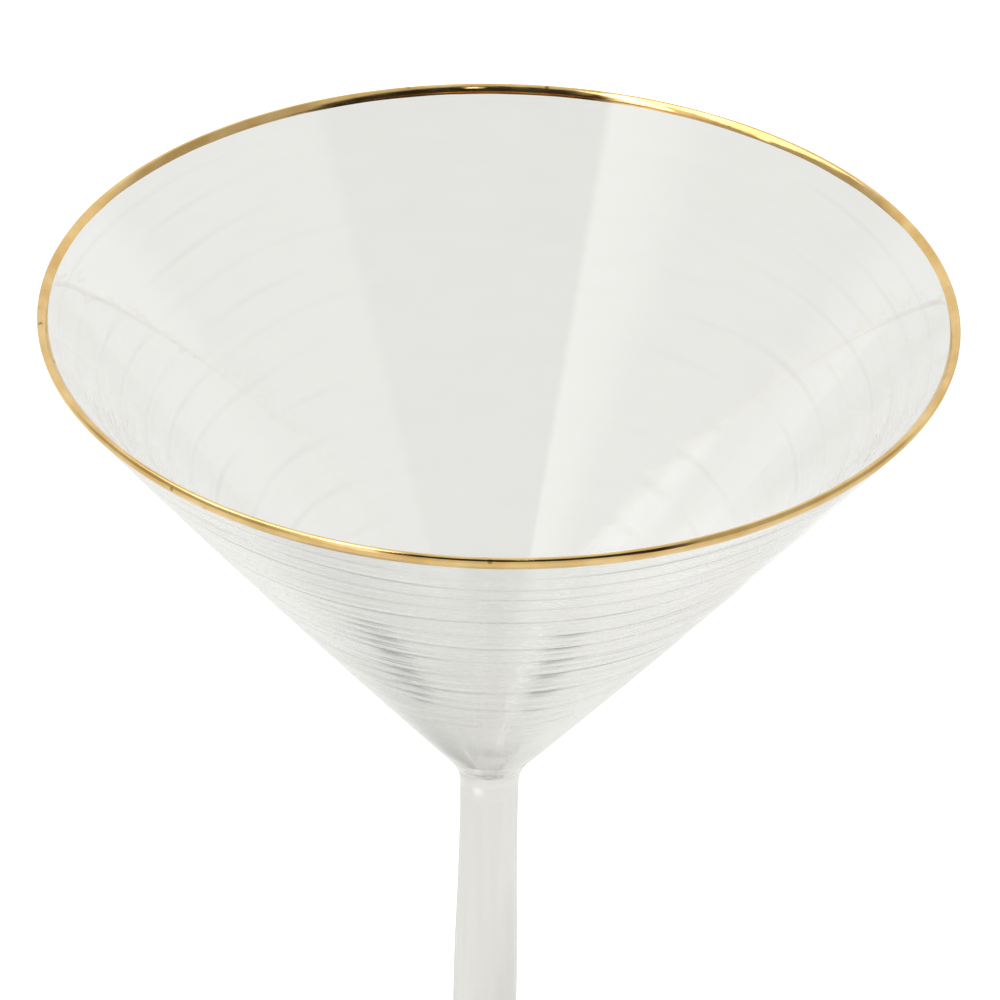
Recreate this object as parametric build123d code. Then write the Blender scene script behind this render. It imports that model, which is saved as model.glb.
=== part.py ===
from build123d import *
from math import cos, radians, sin, tan
import os

# A conical cocktail glass: a blown bowl, a drawn stem and a spun foot, fused end to end,
# with a fired gold band over the lip. Millimetres, +Z up. The origin is the centre of the
# foot's resting ring, and every piece is a turned shape about Z.

# Whole glass
HEIGHT = 180.0
RIM_RADIUS = 58.0  # to the outside of the gold

# Gold band: a thin skin, thicker here than the real one so that it is a solid
GOLD_THICKNESS = 0.15
GOLD_DOWN_OUTSIDE = 0.66  # past the end of the lip's rounding
GOLD_DOWN_INSIDE = 0.5

# Bowl
LIP_THICKNESS = 0.9  # of the glass, without the gold
LIP_ANGLE = 36.7  # between the wall and the vertical, at the lip
NECK_RADIUS = 3.88
NECK_TOP = 109.6  # where the outside wall would meet the neck without its fillet
NECK_FILLET = 8.0
FLOOR_TOP = 109.8  # lowest point of the hollow
FLOOR_RADIUS = 3.0
FLOOR_ANGLE = 40.0  # between the inside wall and the vertical, just above the floor

# Stem: radius and height where it is narrowest, widest and about to meet the foot
BOWL_JOINT = 106.0
WAIST = (3.86, 99.0)
UPPER_SHANK = (4.08, 86.5)
SWELL = (4.29, 71.0)
LOWER_SHANK = (4.12, 45.0)
FOOT_JOINT = 17.0
ANKLE_RADIUS = 3.95

# Foot
FOOT_RADIUS = 39.0
FOOT_EDGE = 2.1  # thickness at the rounded outside edge
FOOT_SLOPE = 5.0  # degrees that the upper face rises towards the stem
FOOT_FILLET = 12.0  # between the upper face and the ankle
RING_INNER_RADIUS = 33.4
KICK = 1.8  # how far the underside rises in the middle


def turned(section):
    """The solid that a section of radius and height sweeps round the glass's axis."""
    return revolve(Plane.XZ * section, axis=Axis.Z)


def along_wall(angle):
    """Unit vector up the wall, at an angle to the vertical."""
    return Vector(sin(radians(angle)), cos(radians(angle)))


def out_of_wall(angle):
    """Unit vector out of the wall's outside face."""
    return Vector(cos(radians(angle)), -sin(radians(angle)))


def lip_centre():
    """Centre of the lip's rounding, set so that the gold reaches the full radius and height."""
    reach = LIP_THICKNESS / 2 + GOLD_THICKNESS
    return Vector(RIM_RADIUS - reach, HEIGHT - reach)


def bowl_section():
    half = LIP_THICKNESS / 2
    centre = lip_centre()
    lip_outside = centre + out_of_wall(LIP_ANGLE) * half
    lip_top = centre + along_wall(LIP_ANGLE) * half
    lip_inside = centre - out_of_wall(LIP_ANGLE) * half
    floor_end = Vector(0, FLOOR_TOP + FLOOR_RADIUS) + out_of_wall(FLOOR_ANGLE) * FLOOR_RADIUS

    base = Line((0, BOWL_JOINT), (NECK_RADIUS, BOWL_JOINT))
    neck = Line((NECK_RADIUS, BOWL_JOINT), (NECK_RADIUS, NECK_TOP))
    outside = TangentArc(lip_outside, (NECK_RADIUS, NECK_TOP), tangent=-along_wall(LIP_ANGLE))
    lip = ThreePointArc(lip_outside, lip_top, lip_inside)
    inside = TangentArc(floor_end, lip_inside, tangent=along_wall(FLOOR_ANGLE))
    floor = TangentArc((0, FLOOR_TOP), floor_end, tangent=(1, 0))
    axis = Line((0, FLOOR_TOP), (0, BOWL_JOINT))
    section = make_face([base, neck, outside, lip, inside, floor, axis])

    corner = section.vertices().sort_by_distance((NECK_RADIUS, NECK_TOP))[0]
    return fillet(corner, NECK_FILLET)


def gold_section():
    """A skin that follows the lip's rounding and runs a little way down both sides of the wall."""
    half = LIP_THICKNESS / 2 + GOLD_THICKNESS
    centre = lip_centre()
    outside_top = centre + out_of_wall(LIP_ANGLE) * half
    inside_top = centre - out_of_wall(LIP_ANGLE) * half
    outside_end = outside_top - along_wall(LIP_ANGLE) * GOLD_DOWN_OUTSIDE
    inside_end = inside_top - along_wall(LIP_ANGLE) * GOLD_DOWN_INSIDE

    outside = Line(outside_end, outside_top)
    over_lip = ThreePointArc(outside_top, centre + along_wall(LIP_ANGLE) * half, inside_top)
    inside = Line(inside_top, inside_end)
    through_wall = Line(inside_end, outside_end)
    return make_face([outside, over_lip, inside, through_wall]) - bowl_section()


def stem_section():
    """A slim neck under the bowl, a slow swell below it, and a slow taper to the foot."""
    top = (NECK_RADIUS, BOWL_JOINT)
    bottom = (ANKLE_RADIUS, FOOT_JOINT)
    side = Spline(
        top, WAIST, UPPER_SHANK, SWELL, LOWER_SHANK, bottom,
        tangents=[(0, -1), (0, -1)],
    )
    top_face = Line((0, BOWL_JOINT), top)
    bottom_face = Line(bottom, (0, FOOT_JOINT))
    axis = Line((0, FOOT_JOINT), (0, BOWL_JOINT))
    return make_face([top_face, side, bottom_face, axis])


def foot_section():
    """A thin disc that flares up into the stem, slightly hollow below, on a flat resting ring."""
    half = FOOT_EDGE / 2
    slope = radians(FOOT_SLOPE)
    edge_centre = Vector(FOOT_RADIUS - half, half)
    edge_low = (edge_centre.X, 0)
    edge_side = (FOOT_RADIUS, half)
    edge_top = edge_centre + Vector(sin(slope), cos(slope)) * half
    ankle = (ANKLE_RADIUS, FOOT_JOINT)
    ankle_base = (ANKLE_RADIUS, edge_top.Y + (edge_top.X - ANKLE_RADIUS) * tan(slope))
    ring_inside = (RING_INNER_RADIUS, 0)

    joint = Line((0, FOOT_JOINT), ankle)
    shank = Line(ankle, ankle_base)
    upper_face = Line(ankle_base, edge_top)
    edge = ThreePointArc(edge_top, edge_side, edge_low)
    ring = Line(edge_low, ring_inside)
    underside = TangentArc((0, KICK), ring_inside, tangent=(1, 0))
    axis = Line((0, KICK), (0, FOOT_JOINT))
    section = make_face([joint, shank, upper_face, edge, ring, underside, axis])

    flare = section.vertices().sort_by_distance(ankle_base)[0]
    return fillet(flare, FOOT_FILLET)


pieces = {
    "bowl": turned(bowl_section()),
    "gold_rim": turned(gold_section()),
    "stem": turned(stem_section()),
    "foot": turned(foot_section()),
}

os.makedirs("parts", exist_ok=True)
for name, solid in pieces.items():
    export_step(solid, f"parts/{name}.step")
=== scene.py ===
from math import atan2, cos, log, pi, radians, sin, tan

import bmesh
import bpy
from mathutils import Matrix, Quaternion, Vector, noise


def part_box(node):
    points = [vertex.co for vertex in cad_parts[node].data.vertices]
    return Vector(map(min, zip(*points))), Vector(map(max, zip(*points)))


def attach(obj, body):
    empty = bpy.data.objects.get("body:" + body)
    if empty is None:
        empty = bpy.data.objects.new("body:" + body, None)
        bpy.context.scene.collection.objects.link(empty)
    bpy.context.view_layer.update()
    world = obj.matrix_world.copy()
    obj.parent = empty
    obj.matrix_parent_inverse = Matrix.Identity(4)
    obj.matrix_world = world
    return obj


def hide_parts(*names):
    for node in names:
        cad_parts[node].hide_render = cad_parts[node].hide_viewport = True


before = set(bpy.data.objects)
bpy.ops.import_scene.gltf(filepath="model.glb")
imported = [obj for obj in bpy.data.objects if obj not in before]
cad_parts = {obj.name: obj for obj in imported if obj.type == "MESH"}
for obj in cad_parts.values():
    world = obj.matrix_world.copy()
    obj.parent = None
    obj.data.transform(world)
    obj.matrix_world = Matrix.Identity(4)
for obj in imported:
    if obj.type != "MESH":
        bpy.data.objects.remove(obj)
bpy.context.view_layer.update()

bl_info = {
    "name": "Martini glass",
    "version": (1, 0, 0),
    "blender": (4, 5, 0),
    "location": "View3D > Sidebar > Martini",
    "description": "Builds a stemmed martini glass with a rippled bowl and a gold band",
    "category": "Add Mesh",
}

# Everything below is in metres. MM turns a size in millimetres into metres.
MM = 0.001

# Places that the solid parts set
_, RIM_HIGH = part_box("gold_rim")
STEM_LOW, STEM_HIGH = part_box("stem")
_, FOOT_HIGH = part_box("foot")
HEIGHT = RIM_HIGH.z
RIM_RADIUS = RIM_HIGH.x
BOWL_JOINT = STEM_HIGH.z
FOOT_JOINT = STEM_LOW.z
FOOT_RADIUS = FOOT_HIGH.x

# Two places nearer than this count as one
CLOSE = 1e-7

# A height this near to a joint is on it
AT_JOINT = 1e-6

# A profile's end this near to the axis belongs on it, so that the pole closes
ON_AXIS = 0.005 * MM

# The upright share of a face's normal past which it is one of the stem's flat ends
FLAT_ON = 0.7

# Edges sharper than this are creases
CREASE = radians(40)

# Headings in a turned profile, drawn with the radius to the right and the height up
UP, INWARDS = radians(90), radians(180)

# Pieces of the profiles' short runs: the lip's three arcs, the caps at the joints and the fillets
LIP_OUTER_STEPS, LIP_TOP_STEPS, LIP_INNER_STEPS = 10, 8, 5
CAP_STEPS = 4
NECK_STEPS, HOLLOW_STEPS, HOLLOW_FLOOR_STEPS = 14, 48, 10
BAND_STEPS = 3
FLARE_STEPS, SLOPE_STEPS, EDGE_STEPS, RING_STEPS, KICK_STEPS = 24, 12, 16, 3, 24

# Noise round the glass is read on a circle, and a larger circle changes faster. The seeds are
# places in the noise that keep one use of it apart from another.
WANDER_CIRCLE, WANDER_RUN = 1.3, 14 * MM
STRENGTH_CIRCLE, STRENGTH_RUN, STRENGTH_SEED = 3.0, 1.1, (7.3, 1.7)
STREAK_CIRCLE, STREAK_SEED = 4.0, (3.1, 9.2)
BRUSH_CIRCLE, BRUSH_SEED = 9.0, 5.0

# Above the first ripple the gaps shrink to no less than this share of the first one
LEAST_STEP = 0.2

# A ripple's strength: its middle value, how far it rises and falls and its least, and the share
# of it that is left at the back
STRENGTH, STRENGTH_SWING, LEAST_STRENGTH = 0.7, 1.3, 0.1
BACK_STRENGTH = 0.4

# The wave's harmonics, which give a ripple one steep side
HARMONICS = (1.0, 0.5, 0.25)

# Where round the bowl the ripples are knotted, over how wide an angle, and between which
# distances down the wall: starting, full, fading and gone. A knot makes the ripples stronger
# and adds a painted shade to them, a little before each one's crest.
KNOTS = ((radians(-111), radians(3)), (radians(-77), radians(3)))
KNOTS_DOWN = (22 * MM, 30 * MM, 50 * MM, 62 * MM)
KNOT_STRENGTH = 2.6
KNOT_CREASE_SHADE, KNOT_LEAD = 0.9, 0.9

# The ripples are quieter round the front's middle, over this angle to each side
FRONT = radians(-90)
QUIET_REACH = radians(17)
QUIET_LOSS = 0.5

# Distances down the wall: where the ripples start and are full, where they grow to their lower
# steepness, and over how much they die out
RIPPLES_START = (1.5 * MM, 4 * MM)
RIPPLES_DEEPEN = (20 * MM, 55 * MM)
RIPPLES_FADE = 30 * MM
# The most painted shade that a ripple's crease gets
DEEPEST_CREASE_SHADE = 1.5

# Near the lip the gold band keeps its even shape down to here
BAND_KEPT = 0.05 * MM

# The middle of a noise's values, where nearly all of them lie
NOISE_LOW, NOISE_HIGH = 0.35, 0.65

# The gold's looks: its colour where it is thick as a share of the bright one, and its specks
THICK_GOLD = (0.82, 0.74, 0.6)
WORN_GOLD = (0.16, 0.08, 0.03)
GOLD_ROUGHNESS = (0.06, 0.17)
SPECK_SCALE = 260.0
SPECK_EDGE = (0.06, 0.1)
SPECK_TONE = 0.35

# After this many bounces light leaves the glass straight on, so that none is trapped in the stem
DEEPEST = 3

# The solid glass's tint has gone at this many times the solid radius
THIN_FROM = 3

# The studio's walls, as ways from the glass, and how the light runs over the left one
LEFT_WALL = (0.97, -0.242, 0)
RIGHT_WALL = (0.909, 0.416, 0)
BACK_WALL = (0, 1, 0)
LEFT_WALL_LIGHT = ((-1.0, 0.5), (-0.6, 0.5), (-0.38, 1.1), (-0.225, 1.3), (-0.15, 0.7))
WARMTH = 0.97

# Where along those ways the right and the back wall begin, and the dark opening's four edges
RIGHT_WALL_FROM = (0.33, 0.4)
BACK_WALL_FROM = (0.3, 0.5)
OPENING_LEFT = (-0.225, -0.19)
OPENING_RIGHT = (0.4, 0.33)
OPENING_LOW = (-0.86, -0.8)
OPENING_HIGH = (-0.26, -0.36)

# The floor: the middles of the shade and of the pool of light, the pool's radius as a share of
# the shade's, the reach of the clearer floor under the foot and the shade that is left there
SHADE_MIDDLE = (-0.025, 0.03, 0)
LIT_MIDDLE = (0.06, 0.185, 0)
LIT_SHARE = 0.6
FOOT_CLEAR_REACH = 1.7
FOOT_SHADE_LEFT = 0.25

# How bright the ground behind the glass is
GROUND_LIGHT = 1.05

# The soft lamps: name, way from the glass, distance, width, depth and radiance
LAMPS = (
    ("strip", (-0.361, -0.301, 0.883), 1.5, 0.14, 0.55, 6.0),
    ("key", (-0.5, 0.08, 0.86), 1.5, 0.9, 0.9, 1.7),
    ("spot", (0.085, -0.38, 0.92), 1.2, 0.025, 0.08, 5.0),
)


# ---------------------------------------------------------------- settings


def length(name, description, millimetres):
    return bpy.props.FloatProperty(
        name=name, description=description, default=millimetres * MM,
        subtype="DISTANCE", unit="LENGTH", precision=5,
    )


def angle(name, description, degrees):
    return bpy.props.FloatProperty(
        name=name, description=description, default=radians(degrees),
        subtype="ANGLE", unit="ROTATION",
    )


def share(name, description, default):
    return bpy.props.FloatProperty(
        name=name, description=description, default=default, min=0.0, max=1.0,
        subtype="FACTOR",
    )


def count(name, description, default):
    return bpy.props.IntProperty(name=name, description=description, default=default, min=3)


def colour(name, description, default):
    return bpy.props.FloatVectorProperty(
        name=name, description=description, default=default, size=3,
        min=0.0, max=1.0, subtype="COLOR",
    )


class BowlSettings(bpy.types.PropertyGroup):
    lip_outside: length("Lip outside", "Radius of the lip's outer quarter, over the gold", 0.69)
    lip_top: length("Lip top", "Radius of the lip's top, over the gold", 0.38)
    lip_inside: length("Lip inside", "Radius of the lip's gentle inner side, over the gold", 4.2)
    lip_turn: angle("Lip turn", "How far the lip's gentle inner side turns", 15.0)
    lip_angle: angle("Lip angle", "Between the wall and the vertical at the lip", 36.7)
    low_angle: angle("Low angle", "Between the outside wall and the vertical above the neck", 38.84)
    neck_radius: length("Neck radius", "Radius of the solid neck under the bowl", 3.88)
    neck_fillet: length("Neck fillet", "Radius between the neck and the wall", 8.0)
    neck_straight: length("Neck straight", "Straight height of the neck above the stem", 0.78)
    floor_top: length("Floor height", "Height of the lowest point of the hollow", 109.8)
    floor_radius: length("Floor radius", "Radius at the bottom of the hollow", 3.0)
    floor_angle: angle("Floor angle", "Between the inside wall and the vertical at the floor", 40.0)
    around: count("Divisions", "Divisions round the axis", 192)
    rows: count("Rows", "Rows down the outside wall", 330)


class RippleSettings(bpy.types.PropertyGroup):
    first: length("First ripple", "From the lip to the first ripple, down the wall", 3.6)
    gap: length("Gap", "Between the first two ripples", 3.9)
    growth: share("Growth", "How much each gap is wider than the last", 0.06)
    last: length("Last ripple", "From the lip to where the ripples die out", 74.0)
    slope_high: angle("Slope at the top", "Steepness of the ripples near the lip", 2.2)
    slope_low: angle("Slope lower down", "Steepness of the ripples in the lower bowl", 2.2)
    drift: length("Drift", "How far a ripple wanders up and down the wall", 0.8)
    streak_gap: length("Streak gap", "Between the fine streaks that lie among the ripples", 1.5)
    streak_slope: angle("Streak slope", "Steepest slope of a fine streak's side", 0.2)


class GoldSettings(bpy.types.PropertyGroup):
    film: length("Film", "Thickness of the gold", 0.05)
    clearance: length("Clearance", "Between the gold and the glass under it", 0.004)
    outside: length("Outside", "How far the gold runs down the outside, past the lip", 0.66)
    inside_turn: angle("Inside turn", "How far the gold follows the lip's inner side", 11.6)
    inside: length("Inside", "How far below the middle of the lip the gold ends inside", 0.43)
    wander: length("Wander", "How unevenly the band's edges are painted", 0.07)
    around: count("Divisions", "Divisions round the rim", 288)
    colour: colour("Colour", "Colour of the bright gold", (0.93, 0.665, 0.3))


class StemSettings(bpy.types.PropertyGroup):
    ankle_radius: length("Ankle radius", "Radius where the stem meets the foot", 3.95)
    lower_radius: length("Lower radius", "Radius of the lower shank", 4.12)
    lower_height: length("Lower height", "Height of the lower shank", 45.0)
    swell_radius: length("Swell radius", "Radius where the stem is widest", 4.29)
    swell_height: length("Swell height", "Height where the stem is widest", 71.0)
    upper_radius: length("Upper radius", "Radius of the upper shank", 4.08)
    upper_height: length("Upper height", "Height of the upper shank", 86.5)
    waist_radius: length("Waist radius", "Radius where the stem is narrowest", 3.86)
    waist_height: length("Waist height", "Height where the stem is narrowest", 99.0)
    around: count("Divisions", "Divisions round the axis", 96)


class FootSettings(bpy.types.PropertyGroup):
    edge: length("Edge", "Thickness of the rounded edge", 2.1)
    slope: angle("Slope", "How steeply the upper face rises to the stem", 5.0)
    flare: length("Flare", "Radius between the upper face and the ankle", 12.0)
    ring_inside: length("Ring inside", "Inside radius of the resting ring", 33.4)
    kick: length("Kick", "How far the underside rises in the middle", 1.8)
    around: count("Divisions", "Divisions round the axis", 160)


class GlassSettings(bpy.types.PropertyGroup):
    tint: colour("Tint", "Light that one face of a thin wall passes", (0.978, 0.978, 0.975))
    solid_tint: colour(
        "Solid tint", "Light that one face of the solid stem passes", (0.895, 0.893, 0.868)
    )
    # Crease depth is a painted shade: how much the glass is darkened in a crease seen at a low angle
    crease_shade_depth: share("Crease depth", "Light that a ripple's crease bends away at a low angle", 0.95)
    solid_radius: length("Solid radius", "Distance from the axis up to which glass is solid", 4.4)
    ior: bpy.props.FloatProperty(
        name="Index", description="Refractive index of the glass", default=1.5, min=1.0, max=2.0
    )


class StageSettings(bpy.types.PropertyGroup):
    camera_distance: length("Camera distance", "From the camera to the middle of the rim", 800.0)
    camera_height: angle("Camera height", "How far the camera stands above the rim's plane", 31.08)
    camera_roll: angle("Camera roll", "How far the camera is turned about its line of sight", 1.227)
    aim_height: length("Aim height", "Height on the glass that the camera looks at", 151.12)
    aim_side: length("Aim side", "How far right of the axis the camera looks", 0.61)
    lens: bpy.props.FloatProperty(
        name="Lens", description="Focal length in millimetres on a 36 mm sensor", default=229.07
    )
    floor_size: length("Floor size", "Radius of the floor", 8000.0)
    floor_tone: colour("Floor tone", "Colour of the pale floor", (0.88, 0.878, 0.86))
    shade_tone: colour(
        "Shade tone", "Colour of the floor in the shade of the bowl", (0.32, 0.32, 0.315)
    )
    shade_size: length("Shade size", "Radius of the soft shade under the bowl", 85.0)
    pool_light: share("Pool light", "Light added in the pool behind the glass", 0.22)
    white: colour("White", "Colour of everything behind the glass", (1.0, 1.0, 0.985))
    glow: share("Glow", "Light that the floor gives off", 0.16)
    lift: share("Lift", "Light added to the floor where it is seen straight on", 0.5)
    side_light: colour("Side light", "Light off the right wall", (0.5, 0.5, 0.485))
    back_light: colour("Back light", "Light off the back wall", (0.9, 0.9, 0.88))
    dark: colour("Dark", "Light from the dark opening above the camera", (0.03, 0.03, 0.03))


PARTS = {
    "bowl": BowlSettings,
    "ripples": RippleSettings,
    "gold": GoldSettings,
    "stem": StemSettings,
    "foot": FootSettings,
    "glass": GlassSettings,
    "stage": StageSettings,
}


class MartiniSettings(bpy.types.PropertyGroup):
    bowl: bpy.props.PointerProperty(type=BowlSettings)
    ripples: bpy.props.PointerProperty(type=RippleSettings)
    gold: bpy.props.PointerProperty(type=GoldSettings)
    stem: bpy.props.PointerProperty(type=StemSettings)
    foot: bpy.props.PointerProperty(type=FootSettings)
    glass: bpy.props.PointerProperty(type=GlassSettings)
    stage: bpy.props.PointerProperty(type=StageSettings)


# ---------------------------------------------------------------- turned profiles


class Profile:
    """A profile drawn point by point in the plane of X and Z, then turned about Z."""

    def __init__(self, radius, height):
        self.bm = bmesh.new()
        self.start = self.bm.verts.new((radius, 0, height))
        self.end = self.start
        self.heading = 0.0

    def line(self, radius, height, pieces=1):
        """Draws a straight run."""
        run = Vector((radius, 0, height)) - self.end.co
        self.heading = atan2(run.z, run.x)
        for _ in range(pieces):
            made = bmesh.ops.extrude_vert_indiv(self.bm, verts=[self.end])
            self.end = made["verts"][0]
            bmesh.ops.translate(self.bm, verts=[self.end], vec=run / pieces)

    def turn(self, centre_radius, centre_height, turn, steps):
        """Draws an arc round a centre. A positive turn is anticlockwise."""
        made = bmesh.ops.spin(
            self.bm, geom=[self.end], cent=(centre_radius, 0, centre_height),
            axis=(0, -1, 0), angle=turn, steps=steps,
        )
        self.end = next(g for g in made["geom_last"] if isinstance(g, bmesh.types.BMVert))
        self.heading += turn

    def bend(self, radius, turn, steps):
        """Draws an arc that carries on in the present heading, turning left if positive."""
        side = self.heading + (pi / 2 if turn > 0 else -pi / 2)
        place = self.end.co
        self.turn(place.x + radius * cos(side), place.z + radius * sin(side), turn, steps)

    def arc_to(self, radius, height, steps):
        """Draws the one arc that carries on in the present heading and ends at a point."""
        run = Vector((radius, 0, height)) - self.end.co
        off = atan2(run.z, run.x) - self.heading
        off = (off + pi) % (2 * pi) - pi
        self.bend(abs(run.length / 2 / sin(off)), 2 * off, steps)

    def close(self):
        """Joins the profile's end to its start."""
        self.bm.edges.new((self.end, self.start))

    def spun(self, around):
        """Turns the profile right round into a closed surface that faces out, and returns it."""
        bm = self.bm
        for vert in (self.start, self.end):
            if abs(vert.co.x) < ON_AXIS:
                vert.co.x = 0.0
        bmesh.ops.spin(
            bm, geom=[*bm.verts, *bm.edges], cent=(0, 0, 0), axis=(0, 0, 1),
            angle=2 * pi, steps=around, use_merge=True,
        )
        bmesh.ops.remove_doubles(bm, verts=bm.verts, dist=CLOSE)
        bmesh.ops.dissolve_degenerate(bm, edges=bm.edges, dist=CLOSE)
        bmesh.ops.recalc_face_normals(bm, faces=bm.faces)
        bm.normal_update()
        return bm


def out_of_wall(slant):
    """Radius and height of a unit step out of a wall that leans at an angle to the vertical."""
    return Vector((cos(slant), -sin(slant)))


def up_wall(slant):
    """Radius and height of a unit step up such a wall."""
    return Vector((sin(slant), cos(slant)))


def finished(bm, name, materials, node):
    """Makes an object of a mesh, gives it its looks and stands it in for a solid part."""
    for face in bm.faces:
        face.smooth = True
    for edge in bm.edges:
        edge.smooth = edge.calc_face_angle(0.0) < CREASE
    mesh = bpy.data.meshes.new(name)
    bm.to_mesh(mesh)
    bm.free()
    for material in materials:
        mesh.materials.append(material)
    piece = bpy.data.objects.new(name, mesh)
    bpy.context.scene.collection.objects.link(piece)
    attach(piece, "root")
    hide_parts(node)


# ---------------------------------------------------------------- materials


def new_material(name):
    """An empty node material and its tree."""
    material = bpy.data.materials.new(name)
    material.use_nodes = True
    tree = material.node_tree
    tree.nodes.clear()
    return material, tree


def put(tree, kind, **inputs):
    """Adds a node and sets the inputs that are named, with _ for a space."""
    node = tree.nodes.new(kind)
    for name, value in inputs.items():
        node.inputs[name.replace("_", " ")].default_value = value
    return node


def feed(tree, value, entry):
    """Gives an input a socket to read, or else a plain number, colour or vector."""
    if isinstance(value, bpy.types.NodeSocket):
        tree.links.new(value, entry)
    elif entry.type == "RGBA":
        entry.default_value = [*value, 1.0]
    else:
        entry.default_value = value


def reckon(tree, operation, *values):
    """The result of a sum on values."""
    node = tree.nodes.new("ShaderNodeMath")
    node.operation = operation
    for value, entry in zip(values, node.inputs):
        feed(tree, value, entry)
    return node.outputs[0]


def product(tree, *masks):
    """The product of several masks."""
    result = masks[0]
    for mask in masks[1:]:
        result = reckon(tree, "MULTIPLY", result, mask)
    return result


def reckon_vector(tree, operation, *vectors, result="Vector"):
    """The result of a sum on vectors."""
    node = tree.nodes.new("ShaderNodeVectorMath")
    node.operation = operation
    for vector, entry in zip(vectors, node.inputs):
        feed(tree, vector, entry)
    return node.outputs[result]


def mixed(tree, factor, first, second):
    """The colour that goes from the first to the second with a factor."""
    node = tree.nodes.new("ShaderNodeMix")
    node.data_type = "RGBA"
    feed(tree, factor, node.inputs["Factor"])
    feed(tree, first, node.inputs["A"])
    feed(tree, second, node.inputs["B"])
    return node.outputs["Result"]


def ranged(tree, value, low, high, start=0.0, end=1.0, soft=False):
    """Runs from start to end while a value goes from low to high."""
    node = put(tree, "ShaderNodeMapRange", From_Min=low, From_Max=high, To_Min=start, To_Max=end)
    if soft:
        node.interpolation_type = "SMOOTHSTEP"
    feed(tree, value, node.inputs["Value"])
    return node.outputs["Result"]


def spread(tree, value, start, end):
    """Spreads the middle of a noise from start to end."""
    return ranged(tree, value, NOISE_LOW, NOISE_HIGH, start, end)


def object_place(tree):
    """Where a point is on its piece."""
    return tree.nodes.new("ShaderNodeTexCoord").outputs["Object"]


def surface(tree, shader):
    """Gives the material its shader."""
    output = tree.nodes.new("ShaderNodeOutputMaterial")
    tree.links.new(shader, output.inputs["Surface"])


def unevenness_group():
    """Soft cloudy unevenness, as a mask, and fine lines stretched along one way, as a height."""
    name = "hand_finish"
    if name in bpy.data.node_groups:
        return bpy.data.node_groups[name]
    group = bpy.data.node_groups.new(name, "ShaderNodeTree")
    face = group.interface
    face.new_socket("Cloud Scale", in_out="INPUT", socket_type="NodeSocketFloat")
    face.new_socket("Line Scale", in_out="INPUT", socket_type="NodeSocketFloat")
    face.new_socket("Stretch", in_out="INPUT", socket_type="NodeSocketVector")
    face.new_socket("Mask", in_out="OUTPUT", socket_type="NodeSocketFloat")
    face.new_socket("Height", in_out="OUTPUT", socket_type="NodeSocketFloat")
    given = group.nodes.new("NodeGroupInput").outputs
    made = group.nodes.new("NodeGroupOutput").inputs
    place = object_place(group)
    clouds = put(group, "ShaderNodeTexNoise", Detail=3.0, Roughness=0.55)
    feed(group, place, clouds.inputs["Vector"])
    feed(group, given["Cloud Scale"], clouds.inputs["Scale"])
    lines = put(group, "ShaderNodeTexNoise", Detail=2.0, Roughness=0.5)
    stretched = reckon_vector(group, "MULTIPLY", place, given["Stretch"])
    feed(group, stretched, lines.inputs["Vector"])
    feed(group, given["Line Scale"], lines.inputs["Scale"])
    feed(group, clouds.outputs["Fac"], made["Mask"])
    feed(group, lines.outputs["Fac"], made["Height"])
    return group


def hand_finish(tree, cloud_scale, line_scale, stretch):
    """Places the unevenness in a material, and returns its mask and its height."""
    finish = put(tree, "ShaderNodeGroup")
    finish.node_tree = unevenness_group()
    finish.inputs["Cloud Scale"].default_value = cloud_scale
    finish.inputs["Line Scale"].default_value = line_scale
    finish.inputs["Stretch"].default_value = stretch
    return finish.outputs["Mask"], finish.outputs["Height"]


def relief(tree, height, strength, depth):
    """The normal of a surface with a fine relief."""
    bump = put(tree, "ShaderNodeBump", Strength=strength, Distance=depth)
    feed(tree, height, bump.inputs["Height"])
    return bump.outputs["Normal"]


def passed_tint_and_crease_shade(tree, glass, lines, streak):
    """The light that the glass passes: less where it is solid and along its draw lines. A painted
    shade darkens it in the creases of the ripples where they are seen at a low angle."""
    radial = reckon_vector(tree, "MULTIPLY", object_place(tree), (1.0, 1.0, 0.0))
    radius = reckon_vector(tree, "LENGTH", radial, result="Value")
    thin = ranged(tree, radius, glass.solid_radius, glass.solid_radius * THIN_FROM, soft=True)
    body = mixed(tree, thin, glass.solid_tint, glass.tint)
    # Painted shade: the glass is darkened in the ripples' creases, more where they are seen at a low
    # angle
    crease_shade_layer = tree.nodes.new("ShaderNodeAttribute")
    crease_shade_layer.attribute_name = "crease_shade"
    grazing = tree.nodes.new("ShaderNodeLayerWeight").outputs["Facing"]
    crease_shade_mask = reckon(tree, "MULTIPLY", crease_shade_layer.outputs["Fac"], grazing)
    crease_unshaded = ranged(tree, crease_shade_mask, 0.0, 1.0, 1.0, 1.0 - glass.crease_shade_depth)
    share_passed = reckon(tree, "MULTIPLY", spread(tree, lines, streak, 1.0), crease_unshaded)
    tone = tree.nodes.new("ShaderNodeVectorMath")
    tone.operation = "SCALE"
    feed(tree, body, tone.inputs[0])
    feed(tree, share_passed, tone.inputs["Scale"])
    return tone.outputs[0]


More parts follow.
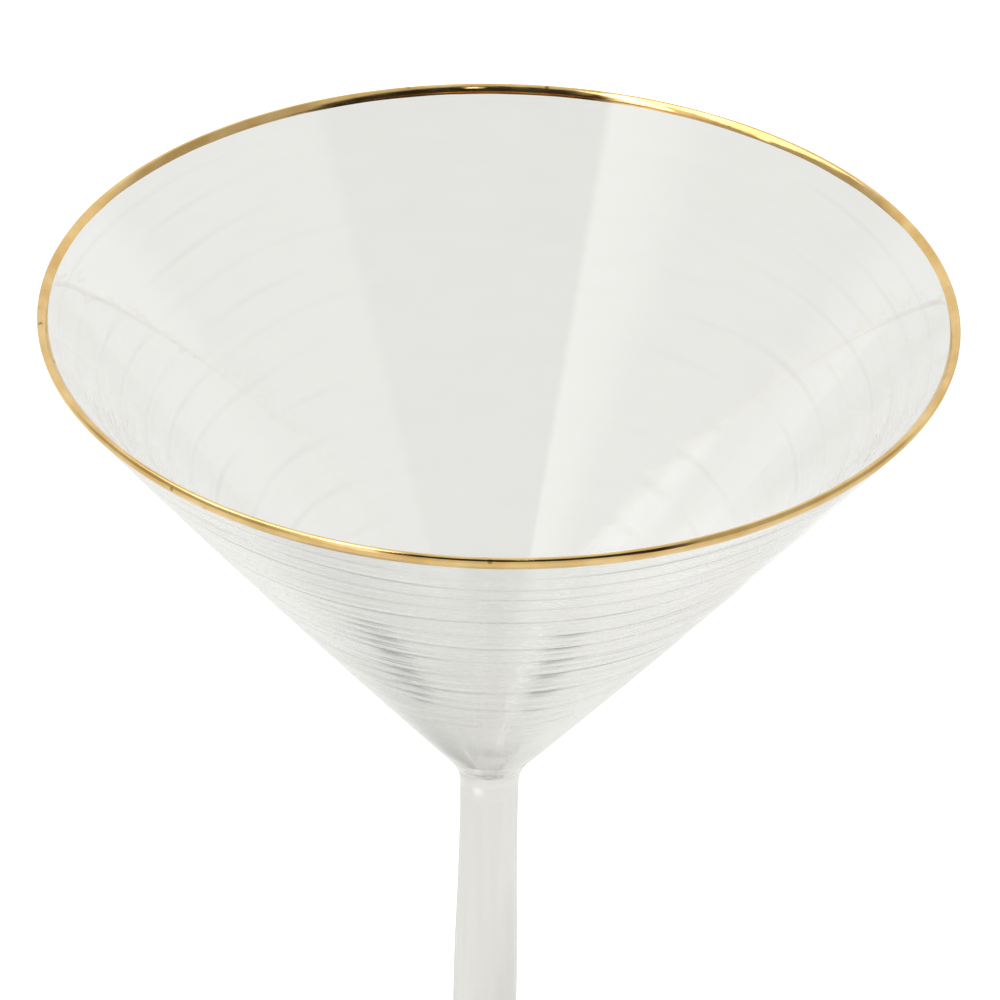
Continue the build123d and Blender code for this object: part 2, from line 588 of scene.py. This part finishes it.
def glass_material(name, glass, stretch, line_scale, bump, haze, streak):
    """Clear glass with faint handling marks. Light for matt surfaces, shadow rays and light that
    has already gone through two walls pass straight through."""
    material, tree = new_material(name)
    clouds, lines = hand_finish(tree, cloud_scale=90.0, line_scale=line_scale, stretch=stretch)
    tone = passed_tint_and_crease_shade(tree, glass, lines, streak)
    shader = put(tree, "ShaderNodeBsdfPrincipled", IOR=glass.ior, Transmission_Weight=1.0)
    feed(tree, tone, shader.inputs["Base Color"])
    feed(tree, spread(tree, clouds, 0.0, haze), shader.inputs["Roughness"])
    feed(tree, relief(tree, lines, strength=1.0, depth=bump), shader.inputs["Normal"])
    passing = tree.nodes.new("ShaderNodeBsdfTransparent")
    feed(tree, tone, passing.inputs["Color"])

    path = tree.nodes.new("ShaderNodeLightPath").outputs
    deep = reckon(tree, "GREATER_THAN", path["Ray Depth"], DEEPEST)
    soft = reckon(tree, "MAXIMUM", path["Is Shadow Ray"], path["Is Diffuse Ray"])
    both = tree.nodes.new("ShaderNodeMixShader")
    feed(tree, reckon(tree, "MAXIMUM", deep, soft), both.inputs[0])
    feed(tree, shader.outputs[0], both.inputs[1])
    feed(tree, passing.outputs[0], both.inputs[2])
    surface(tree, both.outputs[0])
    return material


def fused_material():
    """The face between two pieces that are melted together, where light goes straight on."""
    name = "fused_joint"
    if name in bpy.data.materials:
        return bpy.data.materials[name]
    material, tree = new_material(name)
    clear = put(tree, "ShaderNodeBsdfTransparent", Color=(1.0, 1.0, 1.0, 1.0))
    surface(tree, clear.outputs[0])
    return material


def gold_material(settings):
    """Fired bright gold, laid on with a brush: fine lines, thick places and a few dark specks."""
    material, tree = new_material("fired_gold")
    clouds, lines = hand_finish(
        tree, cloud_scale=160.0, line_scale=900.0, stretch=(0.25, 0.25, 3.0)
    )
    bright = settings.colour
    thick = [part * depth for part, depth in zip(bright, THICK_GOLD)]
    tone = mixed(tree, spread(tree, clouds, 0.0, 1.0), thick, bright)
    specks = put(tree, "ShaderNodeTexVoronoi", Scale=SPECK_SCALE)
    feed(tree, object_place(tree), specks.inputs["Vector"])
    clean = ranged(tree, specks.outputs["Distance"], *SPECK_EDGE, SPECK_TONE, 1.0)
    shader = put(tree, "ShaderNodeBsdfPrincipled", Metallic=1.0)
    feed(tree, mixed(tree, clean, WORN_GOLD, tone), shader.inputs["Base Color"])
    feed(tree, spread(tree, lines, *GOLD_ROUGHNESS), shader.inputs["Roughness"])
    feed(tree, relief(tree, lines, strength=0.6, depth=0.02 * MM), shader.inputs["Normal"])
    surface(tree, shader.outputs[0])
    return material


# ---------------------------------------------------------------- ripples


def smooth_step(low, high, value):
    """0 below low, 1 above high and a soft ramp between them."""
    t = min(max((value - low) / (high - low), 0.0), 1.0)
    return t * t * (3 - 2 * t)


def ripple_number(slant, ring, ripples):
    """How many ripples lie above a place on the wall, and how long the one there is. Each is
    longer than the last, and they wander up and down the wall."""
    wander = noise.noise(ring * WANDER_CIRCLE + Vector((0, 0, slant / WANDER_RUN)))
    place = slant + wander * ripples.drift * 2
    ratio = 1 + ripples.growth
    step = max(1 + ripples.growth * (place - ripples.first) / ripples.gap, LEAST_STEP)
    wavelength = ripples.gap * log(ratio) / ripples.growth * step
    return log(step) / log(ratio), wavelength


def knotted_share(slant, turn):
    """How much the ripples are knotted at a place on the wall."""
    start, full, fading, gone = KNOTS_DOWN
    near = smooth_step(start, full, slant) * (1 - smooth_step(fading, gone, slant))
    return sum(near / (1 + ((turn - middle) / reach) ** 4) for middle, reach in KNOTS)


def ripple_height(slant, turn, ripples):
    """How far the outside wall stands out of its even shape, and how much painted shade its
    creases get, some way down it from the lip and some way round it."""
    ring = Vector((cos(turn), sin(turn), 0.0))
    number, wavelength = ripple_number(slant, ring, ripples)
    knotted = knotted_share(slant, turn)

    place = Vector((*STRENGTH_SEED, number * STRENGTH_RUN))
    unevenness = noise.noise(ring * STRENGTH_CIRCLE + place)
    strength = STRENGTH + STRENGTH_SWING * unevenness + KNOT_STRENGTH * knotted
    front = (1 - sin(turn)) / 2
    off_middle = abs(turn - FRONT) / QUIET_REACH
    quiet = 1 - QUIET_LOSS / (1 + off_middle ** 4)
    strength *= (BACK_STRENGTH + (1 - BACK_STRENGTH) * front) * quiet

    depth = smooth_step(*RIPPLES_DEEPEN, slant)
    slope = ripples.slope_high + (ripples.slope_low - ripples.slope_high) * depth
    phase = 2 * pi * number
    wave = steep = steepest = 0.0
    for order, share_of_wave in enumerate(HARMONICS, 1):
        wave -= share_of_wave * sin(order * phase)
        steep += share_of_wave * order * cos(order * phase)
        steepest += share_of_wave * order
    ridge = max(strength, LEAST_STRENGTH) * wave * slope * wavelength / (2 * pi)
    streak = noise.noise(ring * STREAK_CIRCLE + Vector((*STREAK_SEED, slant / ripples.streak_gap)))
    fine = streak * ripples.streak_slope * ripples.streak_gap

    # Painted shade in the creases: strongest on a ripple's steep side, and more in a knot just before
    # each crest
    crease_shade = max(steep / steepest, 0.0) ** 2 * max(strength, 0.0)
    crease_shade += KNOT_CREASE_SHADE * knotted * max(sin(phase + KNOT_LEAD), 0.0) ** 2
    start = smooth_step(*RIPPLES_START, slant)
    end = 1 - smooth_step(ripples.last - RIPPLES_FADE, ripples.last, slant)
    return (ridge + fine) * start * end, min(crease_shade * start * end, DEEPEST_CREASE_SHADE)


def ripple(bm, lip_middle, settings, ripples):
    """Moves the vertices of the bowl's outside wall in and out of it, and marks how much painted shade
    its creases get.
    """
    least_outwards = out_of_wall(settings.lip_angle).x / 2
    # Each vertex keeps the painted shade of its crease, by which the glass is darkened
    crease_shade_layer = bm.verts.layers.float.new("crease_shade")
    moves = []
    for vert in bm.verts:
        flat = Vector((vert.co.x, vert.co.y, 0.0))
        if flat.length < settings.neck_radius:
            continue
        if vert.normal.dot(flat.normalized()) < least_outwards:
            continue
        slant = (Vector((flat.length, vert.co.z)) - lip_middle).length
        height, crease_shade = ripple_height(slant, atan2(vert.co.y, vert.co.x), ripples)
        vert[crease_shade_layer] = crease_shade
        moves.append((vert, vert.normal * height))
    for vert, move in moves:
        vert.co += move


# ---------------------------------------------------------------- pieces


class Lip:
    """The lip's shape, as radius and height: an outer quarter, a tighter top and a gentle inner
    side."""

    def __init__(self, size):
        away, up = out_of_wall(size.lip_angle), up_wall(size.lip_angle)
        step = size.lip_outside - size.lip_top
        reach = RIM_RADIUS - size.lip_outside
        self.outer = Vector((reach, HEIGHT - size.lip_top - step * up.y))
        self.top = self.outer + up * step
        tilt = pi - size.lip_turn
        facing = away * cos(tilt) + up * sin(tilt)
        self.inner = self.top - facing * (size.lip_inside - size.lip_top)
        self.size, self.away, self.up = size, away, up

    def outside(self, below):
        """Where the lip's outer quarter starts, some way under the surface of the gold."""
        return self.outer + self.away * (self.size.lip_outside - below)

    def inside(self, below):
        """Where the lip's gentle inner side ends, some way under the surface of the gold."""
        return self.inner - self.away * (self.size.lip_inside - below)

    def over(self, profile, inside_turn):
        """Draws the lip from its outside to its inside."""
        profile.turn(*self.outer, pi / 2, LIP_OUTER_STEPS)
        profile.turn(*self.top, pi / 2 - self.size.lip_turn, LIP_TOP_STEPS)
        profile.turn(*self.inner, inside_turn, LIP_INNER_STEPS)

    def back(self, profile, inside_turn):
        """Draws the lip from its inside to its outside."""
        profile.turn(*self.inner, -inside_turn, LIP_INNER_STEPS)
        profile.turn(*self.top, self.size.lip_turn - pi / 2, LIP_TOP_STEPS)
        profile.turn(*self.outer, -pi / 2, LIP_OUTER_STEPS)


class MakeBowl(bpy.types.Operator):
    """Blows the conical bowl, smooth inside and rippled outside, with its solid neck"""

    bl_idname = "martini.make_bowl"
    bl_label = "Bowl"

    def execute(self, context):
        martini = context.scene.martini
        size, gold = martini.bowl, martini.gold
        lip = Lip(size)
        outside = lip.outside(gold.film)
        floor_middle = Vector((0.0, size.floor_top + size.floor_radius))
        floor_end = floor_middle + out_of_wall(size.floor_angle) * size.floor_radius

        profile = Profile(0, BOWL_JOINT)
        profile.line(size.neck_radius, BOWL_JOINT, CAP_STEPS)
        profile.line(size.neck_radius, BOWL_JOINT + size.neck_straight)
        profile.bend(size.neck_fillet, -size.low_angle, NECK_STEPS)
        profile.arc_to(outside.x, outside.y, size.rows)
        lip.over(profile, size.lip_turn)
        profile.arc_to(floor_end.x, floor_end.y, HOLLOW_STEPS)
        profile.turn(0, floor_middle.y, size.floor_angle - pi / 2, HOLLOW_FLOOR_STEPS)
        bm = profile.spun(size.around)
        ripple(bm, lip.outer, size, martini.ripples)

        for face in bm.faces:
            middle = face.calc_center_median()
            radial = Vector((middle.x, middle.y, 0.0))
            at_joint = middle.z < BOWL_JOINT + AT_JOINT
            down = (lip.outer - Vector((radial.length, middle.z))).dot(lip.up)
            band = gold.outside if face.normal.dot(radial) > 0 else gold.inside
            face.material_index = int(at_joint or down < band - gold.wander)
        glass = glass_material(
            "rippled_glass", martini.glass,
            stretch=(1.0, 1.0, 9.0), line_scale=120.0, bump=0.0005 * MM, haze=0.02, streak=0.985,
        )
        finished(bm, "bowl_blown", [glass, fused_material()], "bowl")
        return {"FINISHED"}


class MakeGoldRim(bpy.types.Operator):
    """Lays the gold band over the lip and down both sides of the wall"""

    bl_idname = "martini.make_gold_rim"
    bl_label = "Gold rim"

    def execute(self, context):
        martini = context.scene.martini
        size, gold = martini.bowl, martini.gold
        lip = Lip(size)
        below = gold.film - gold.clearance
        top = lip.outside(0.0)
        low = top - lip.up * gold.outside
        under_low = lip.outside(below) - lip.up * gold.outside

        profile = Profile(low.x, low.y)
        profile.line(top.x, top.y, BAND_STEPS)
        lip.over(profile, gold.inside_turn)
        tilt = size.lip_turn - gold.inside_turn
        into_wall = lip.away * cos(tilt) - lip.up * sin(tilt)
        edge = Vector((profile.end.co.x, profile.end.co.z)) + into_wall * below
        profile.line(edge.x, edge.y)
        lip.back(profile, gold.inside_turn)
        profile.line(under_low.x, under_low.y, BAND_STEPS)
        profile.close()
        bm = profile.spun(gold.around)
        for vert in bm.verts:
            radius = Vector((vert.co.x, vert.co.y)).length
            down = (lip.outer - Vector((radius, vert.co.z))).dot(lip.up)
            if down < BAND_KEPT:
                continue
            turn = Vector((vert.co.x, vert.co.y, 0)) / radius
            side = BRUSH_SEED if radius > lip.outer.x else 0.0
            brushed = noise.noise(turn * BRUSH_CIRCLE + Vector((0, 0, side)))
            shift = brushed * gold.wander * down / gold.outside
            vert.co += (turn * lip.up.x + Vector((0, 0, lip.up.y))) * shift
        finished(bm, "gold_band", [gold_material(gold)], "gold_rim")
        return {"FINISHED"}


class MakeStem(bpy.types.Operator):
    """Draws the slim solid stem, with its waist under the bowl and its slow swell"""

    bl_idname = "martini.make_stem"
    bl_label = "Stem"

    def execute(self, context):
        martini = context.scene.martini
        size = martini.stem
        profile = Profile(0, FOOT_JOINT)
        profile.line(size.ankle_radius, FOOT_JOINT, CAP_STEPS)
        profile.heading = UP
        for radius, height, steps in (
            (size.lower_radius, size.lower_height, 24),
            (size.swell_radius, size.swell_height, 24),
            (size.upper_radius, size.upper_height, 18),
            (size.waist_radius, size.waist_height, 18),
            (martini.bowl.neck_radius, BOWL_JOINT, 10),
        ):
            profile.arc_to(radius, height, steps)
        profile.line(0, BOWL_JOINT, CAP_STEPS)
        bm = profile.spun(size.around)
        for face in bm.faces:
            face.material_index = int(abs(face.normal.z) > FLAT_ON)
        glass = glass_material(
            "drawn_glass", martini.glass,
            stretch=(9.0, 9.0, 0.5), line_scale=60.0, bump=0.004 * MM, haze=0.015, streak=0.93,
        )
        finished(bm, "stem_drawn", [glass, fused_material()], "stem")
        return {"FINISHED"}


class MakeFoot(bpy.types.Operator):
    """Spins the foot: a thin disc that flares up into the stem and is slightly hollow below"""

    bl_idname = "martini.make_foot"
    bl_label = "Foot"

    def execute(self, context):
        martini = context.scene.martini
        size = martini.foot
        ankle = martini.stem.ankle_radius
        half = size.edge / 2
        edge_middle = Vector((FOOT_RADIUS - half, half))
        edge_top = edge_middle + Vector((sin(size.slope), cos(size.slope))) * half
        slope_top = edge_top.y + (edge_top.x - ankle) * tan(size.slope)
        flare_start = slope_top + size.flare * tan((pi / 2 - size.slope) / 2)

        profile = Profile(0, FOOT_JOINT)
        profile.line(ankle, FOOT_JOINT, CAP_STEPS)
        profile.line(ankle, flare_start)
        profile.bend(size.flare, pi / 2 - size.slope, FLARE_STEPS)
        profile.line(edge_top.x, edge_top.y, SLOPE_STEPS)
        profile.bend(half, size.slope - pi, EDGE_STEPS)
        profile.line(size.ring_inside, 0, RING_STEPS)
        rise = atan2(size.kick, -size.ring_inside)
        profile.heading = 2 * rise - INWARDS
        profile.arc_to(0, size.kick, KICK_STEPS)
        bm = profile.spun(size.around)
        for face in bm.faces:
            middle = face.calc_center_median()
            face.material_index = int(middle.z > FOOT_JOINT - AT_JOINT)
        glass = glass_material(
            "spun_glass", martini.glass,
            stretch=(2.0, 2.0, 2.0), line_scale=60.0, bump=0.003 * MM, haze=0.015, streak=0.985,
        )
        finished(bm, "foot_spun", [glass, fused_material()], "foot")
        return {"FINISHED"}


# ---------------------------------------------------------------- stage


def pool(tree, place, middle, radius):
    """A soft round mask on the floor: 1 in the middle and 0 from the radius on."""
    offset = reckon_vector(tree, "SUBTRACT", place, middle)
    distance = reckon_vector(tree, "LENGTH", offset, result="Value")
    return ranged(tree, distance, 0.0, radius, 1.0, 0.0, soft=True)


def floor_material(stage):
    """A pale matt floor with a soft shade round the glass, which is weaker under the foot, and a
    pool of light behind it."""
    material, tree = new_material("pale_floor")
    place = object_place(tree)
    shade = pool(tree, place, SHADE_MIDDLE, stage.shade_size)
    under_foot = pool(tree, place, (0, 0, 0), FOOT_RADIUS * FOOT_CLEAR_REACH)
    shaded = product(tree, shade, ranged(tree, under_foot, 0.0, 1.0, 1.0, FOOT_SHADE_LEFT))
    matt = tree.nodes.new("ShaderNodeBsdfDiffuse")
    feed(tree, mixed(tree, shaded, stage.floor_tone, stage.shade_tone), matt.inputs["Color"])

    lit = pool(tree, place, LIT_MIDDLE, stage.shade_size * LIT_SHARE)
    straight_on = tree.nodes.new("ShaderNodeLightPath").outputs["Is Camera Ray"]
    seen = ranged(tree, straight_on, 0.0, 1.0, stage.glow, stage.glow + stage.lift)
    glow = tree.nodes.new("ShaderNodeEmission")
    feed(tree, stage.white, glow.inputs["Color"])
    feed(tree, reckon(tree, "MULTIPLY_ADD", lit, stage.pool_light, seen), glow.inputs["Strength"])
    both = tree.nodes.new("ShaderNodeAddShader")
    feed(tree, matt.outputs[0], both.inputs[0])
    feed(tree, glow.outputs[0], both.inputs[1])
    surface(tree, both.outputs[0])
    return material


def studio_world(stage):
    """White walls, a bright strip on the left, and a dark opening behind and above the camera."""
    world = bpy.data.worlds.new("studio")
    bpy.context.scene.world = world
    world.use_nodes = True
    tree = world.node_tree
    tree.nodes.clear()
    direction = tree.nodes.new("ShaderNodeTexCoord").outputs["Generated"]
    left, right, back = (
        reckon_vector(tree, "DOT_PRODUCT", direction, way, result="Value")
        for way in (LEFT_WALL, RIGHT_WALL, BACK_WALL)
    )
    ramp = tree.nodes.new("ShaderNodeValToRGB")
    feed(tree, ranged(tree, left, -1, 1), ramp.inputs["Fac"])
    elements = ramp.color_ramp.elements
    while len(elements) < len(LEFT_WALL_LIGHT):
        elements.new(0.5)
    for element, (reach, level) in zip(elements, LEFT_WALL_LIGHT):
        element.position = (reach + 1) / 2
        element.color = (level, level, level * WARMTH, 1.0)
    beside = ranged(tree, right, *RIGHT_WALL_FROM)
    behind = ranged(tree, back, *BACK_WALL_FROM)
    walls = mixed(tree, beside, ramp.outputs["Color"], stage.side_light)
    walls = mixed(tree, behind, walls, stage.back_light)
    opening = product(
        tree,
        ranged(tree, left, *OPENING_LEFT),
        ranged(tree, right, *OPENING_RIGHT),
        ranged(tree, back, *OPENING_LOW),
        ranged(tree, back, *OPENING_HIGH),
    )
    light = put(tree, "ShaderNodeBackground", Strength=1.0)
    feed(tree, mixed(tree, opening, walls, stage.dark), light.inputs["Color"])
    ground = put(tree, "ShaderNodeBackground", Strength=GROUND_LIGHT)
    feed(tree, stage.white, ground.inputs["Color"])
    choose = tree.nodes.new("ShaderNodeMixShader")
    feed(tree, tree.nodes.new("ShaderNodeLightPath").outputs["Is Camera Ray"], choose.inputs[0])
    feed(tree, light.outputs[0], choose.inputs[1])
    feed(tree, ground.outputs[0], choose.inputs[2])
    world_output = tree.nodes.new("ShaderNodeOutputWorld")
    feed(tree, choose.outputs[0], world_output.inputs["Surface"])


def softbox(name, way, distance, width, depth, radiance):
    """A rectangular soft light that stands off the glass one way and faces it."""
    data = bpy.data.lights.new(name, "AREA")
    data.shape = "RECTANGLE"
    data.size = width
    data.size_y = depth
    data.energy = radiance * pi * width * depth
    lamp = bpy.data.objects.new(name, data)
    rim = Vector((0, 0, HEIGHT))
    lamp.location = rim + Vector(way).normalized() * distance
    lamp.rotation_mode = "QUATERNION"
    lamp.rotation_quaternion = (rim - lamp.location).to_track_quat("-Z", "Y")
    bpy.context.scene.collection.objects.link(lamp)


class MakeStage(bpy.types.Operator):
    """Lays the pale floor, sets the soft light and stands the camera"""

    bl_idname = "martini.make_stage"
    bl_label = "Stage"

    def execute(self, context):
        stage = context.scene.martini.stage
        bm = bmesh.new()
        bmesh.ops.create_circle(bm, cap_ends=True, segments=96, radius=stage.floor_size)
        mesh = bpy.data.meshes.new("floor")
        bm.to_mesh(mesh)
        bm.free()
        mesh.materials.append(floor_material(stage))
        floor = bpy.data.objects.new("floor", mesh)
        bpy.context.scene.collection.objects.link(floor)

        studio_world(stage)
        for lamp in LAMPS:
            softbox(*lamp)

        camera = bpy.data.objects.new("camera", bpy.data.cameras.new("camera"))
        camera.data.lens = stage.lens
        camera.data.sensor_width = 36.0
        lift = stage.camera_height
        back = Vector((0, -cos(lift), sin(lift)))
        camera.location = Vector((0, 0, HEIGHT)) + back * stage.camera_distance
        aim = Vector((stage.aim_side, 0, stage.aim_height))
        looking = (aim - camera.location).to_track_quat("-Z", "Y")
        camera.rotation_mode = "QUATERNION"
        camera.rotation_quaternion = looking @ Quaternion((0, 0, 1), stage.camera_roll)
        bpy.context.scene.collection.objects.link(camera)
        context.scene.camera = camera
        context.scene.view_settings.view_transform = "Standard"
        return {"FINISHED"}


class MartiniPanel(bpy.types.Panel):
    """Lists the steps that build the glass"""

    bl_label = "Martini glass"
    bl_idname = "VIEW3D_PT_martini"
    bl_space_type = "VIEW_3D"
    bl_region_type = "UI"
    bl_category = "Martini"

    def draw(self, context):
        for step in STEPS:
            self.layout.operator(step.bl_idname)
        for part, group in PARTS.items():
            box = self.layout.box()
            box.label(text=part.capitalize())
            for name in group.__annotations__:
                box.prop(getattr(context.scene.martini, part), name)


STEPS = (MakeBowl, MakeGoldRim, MakeStem, MakeFoot, MakeStage)
CLASSES = (*PARTS.values(), MartiniSettings, *STEPS, MartiniPanel)


def register():
    for kind in CLASSES:
        bpy.utils.register_class(kind)
    bpy.types.Scene.martini = bpy.props.PointerProperty(type=MartiniSettings)


def unregister():
    del bpy.types.Scene.martini
    for kind in reversed(CLASSES):
        bpy.utils.unregister_class(kind)


def main():
    register()
    bpy.ops.martini.make_stage()
    bpy.ops.martini.make_bowl()
    bpy.ops.martini.make_gold_rim()
    bpy.ops.martini.make_stem()
    bpy.ops.martini.make_foot()


if __name__ == "__main__":
    main()
